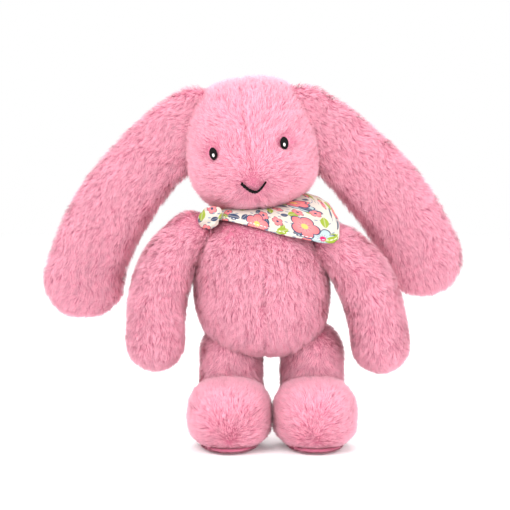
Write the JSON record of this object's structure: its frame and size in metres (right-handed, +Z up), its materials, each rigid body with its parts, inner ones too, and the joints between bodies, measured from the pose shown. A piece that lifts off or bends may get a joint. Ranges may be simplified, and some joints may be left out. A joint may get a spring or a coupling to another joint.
{
  "type": "stuffed bunny",
  "caption": "Plush toy rabbit with long hanging ears, soft arms and legs, and a printed neckerchief tied round its neck; it stands on flat padded feet.",
  "frame": {"origin": "on the floor under the middle of the standing toy's box", "axes": "+Z up, the toy looks along -Y; left and right are the toy's own, so its left side is at +X; +X is its widest extent, across the ears"},
  "size_m": [0.3451, 0.13, 0.2954],
  "materials": {
    "fur": "pink long-pile plush, soft and matt",
    "sole_fur": "short-pile plush, deeper pink",
    "stuffing": "white polyester fibre",
    "bean_pouch": "undyed cloth pouch of pellets",
    "white_thread": "white embroidery thread",
    "black_thread": "black embroidery thread, slight sheen",
    "seam_thread": "pink sewing thread",
    "printed_cotton": "thin woven cotton, small flower print on cream"
  },
  "bodies": {
    "torso": {"torso_cover": "fur", "torso_stuffing": "stuffing", "seat_bean_bag": "bean_pouch", "tail_cover": "fur", "tail_stuffing": "stuffing"},
    "neck": {"neck_seam": "seam_thread"},
    "head": {"head_cover": "fur", "head_stuffing": "stuffing", "eye_left": "black_thread", "eye_right": "black_thread", "eye_glint_left": "white_thread", "eye_glint_right": "white_thread", "mouth": "black_thread"},
    "neckerchief": {"neckerchief": "printed_cotton", "neckerchief_knot": "printed_cotton"},
    "ear_left": {"ear_cover_base_left": "fur", "ear_padding_base_left": "stuffing"},
    "ear_tip_left": {"ear_cover_tip_left": "fur", "ear_padding_tip_left": "stuffing"},
    "shoulder_left": {"shoulder_seam_left": "seam_thread"},
    "arm_left": {"arm_cover_left": "fur", "arm_stuffing_left": "stuffing"},
    "leg_left": {"leg_cover_left": "fur", "leg_stuffing_left": "stuffing"},
    "foot_left": {"foot_cover_left": "fur", "foot_stuffing_left": "stuffing", "foot_bean_bag_left": "bean_pouch", "sole_left": "sole_fur"},
    "ear_right": {"ear_cover_base_right": "fur", "ear_padding_base_right": "stuffing"},
    "ear_tip_right": {"ear_cover_tip_right": "fur", "ear_padding_tip_right": "stuffing"},
    "shoulder_right": {"shoulder_seam_right": "seam_thread"},
    "arm_right": {"arm_cover_right": "fur", "arm_stuffing_right": "stuffing"},
    "leg_right": {"leg_cover_right": "fur", "leg_stuffing_right": "stuffing"},
    "foot_right": {"foot_cover_right": "fur", "foot_stuffing_right": "stuffing", "foot_bean_bag_right": "bean_pouch", "sole_right": "sole_fur"}
  },
  "joints": [
    {"name": "neck_turn", "type": "hinge", "parent": "torso", "child": "neck", "pos_m": [0.00149, -0.002, 0.1915], "axis": [0, 0, 1], "range_deg": [-25, 25]},
    {"name": "head_nod", "type": "hinge", "parent": "neck", "child": "head", "pos_m": [0.00149, -0.002, 0.1915], "axis": [1, 0, 0], "range_deg": [-10, 10]},
    {"name": "neckerchief_turn", "type": "hinge", "parent": "torso", "child": "neckerchief", "pos_m": [0.00149, -0.002, 0.1915], "axis": [0, 0, 1], "range_deg": [-35, 0]},
    {"name": "ear_lift_left", "type": "hinge", "parent": "head", "child": "ear_left", "pos_m": [0.03849, -0.008, 0.264], "axis": [0, -0.9563, -0.2924], "range_deg": [0, 90]},
    {"name": "ear_fold_left", "type": "hinge", "parent": "ear_left", "child": "ear_tip_left", "pos_m": [0.10863, 0.01078, 0.20256], "axis": [-0.7984, 0.176, -0.5758], "range_deg": [-40, 30]},
    {"name": "arm_swing_left", "type": "hinge", "parent": "torso", "child": "shoulder_left", "pos_m": [0.06049, -0.016, 0.165], "axis": [-1, 0, 0], "range_deg": [-25, 110]},
    {"name": "arm_lift_left", "type": "hinge", "parent": "shoulder_left", "child": "arm_left", "pos_m": [0.06049, -0.016, 0.165], "axis": [0, -1, 0], "range_deg": [0, 60]},
    {"name": "hip_left", "type": "hinge", "parent": "torso", "child": "leg_left", "pos_m": [0.04699, 0.002, 0.0735], "axis": [-1, 0, 0], "range_deg": [-20, 45]},
    {"name": "ankle_left", "type": "hinge", "parent": "leg_left", "child": "foot_left", "pos_m": [0.04699, 0.002, 0.044], "axis": [-1, 0, 0], "range_deg": [-15, 15]},
    {"name": "ear_lift_right", "type": "hinge", "parent": "head", "child": "ear_right", "pos_m": [-0.04851, -0.008, 0.262], "axis": [0, 0.9659, 0.2588], "range_deg": [0, 90]},
    {"name": "ear_fold_right", "type": "hinge", "parent": "ear_right", "child": "ear_tip_right", "pos_m": [-0.1158, 0.01053, 0.19284], "axis": [-0.8531, -0.135, 0.504], "range_deg": [-40, 30]},
    {"name": "arm_swing_right", "type": "hinge", "parent": "torso", "child": "shoulder_right", "pos_m": [-0.05151, -0.016, 0.172], "axis": [-1, 0, 0], "range_deg": [-25, 110]},
    {"name": "arm_lift_right", "type": "hinge", "parent": "shoulder_right", "child": "arm_right", "pos_m": [-0.05151, -0.016, 0.172], "axis": [0, 1, 0], "range_deg": [0, 60]},
    {"name": "hip_right", "type": "hinge", "parent": "torso", "child": "leg_right", "pos_m": [-0.01951, 0.002, 0.0735], "axis": [-1, 0, 0], "range_deg": [-20, 45]},
    {"name": "ankle_right", "type": "hinge", "parent": "leg_right", "child": "foot_right", "pos_m": [-0.01951, 0.002, 0.044], "axis": [-1, 0, 0], "range_deg": [-15, 15]}
  ]
}
